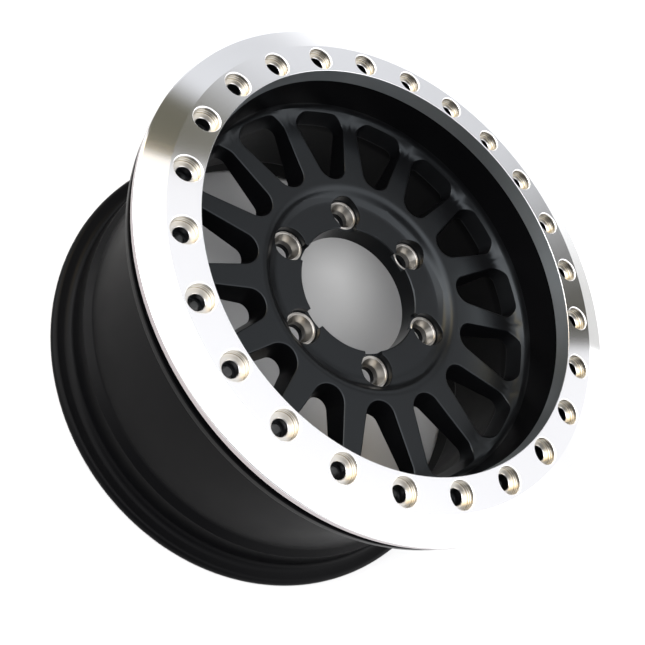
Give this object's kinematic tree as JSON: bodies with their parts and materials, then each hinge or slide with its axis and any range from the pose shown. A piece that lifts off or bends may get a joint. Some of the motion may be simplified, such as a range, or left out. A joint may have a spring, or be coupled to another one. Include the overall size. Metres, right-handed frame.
{
  "type": "beadlock wheel",
  "caption": "Cast off-road car wheel with straight spokes, an open centre bore and lug holes, and a flat ring bolted to its front flange to clamp the tyre's bead.",
  "frame": {"origin": "on the wheel's axis, at the back face of the rear flange, on which the wheel lies", "axes": "+Z along the wheel's axis, from the rear flange to the beadlock ring's front face; +X through one of the ring's bolt holes"},
  "size_m": [0.4211, 0.4212, 0.21],
  "materials": {
    "black_casting": "satin black powder coat",
    "machined_ring": "bare, face-turned"
  },
  "bodies": {
    "root": {"wheel": "black_casting", "beadlock_ring": "machined_ring"}
  },
  "joints": []
}
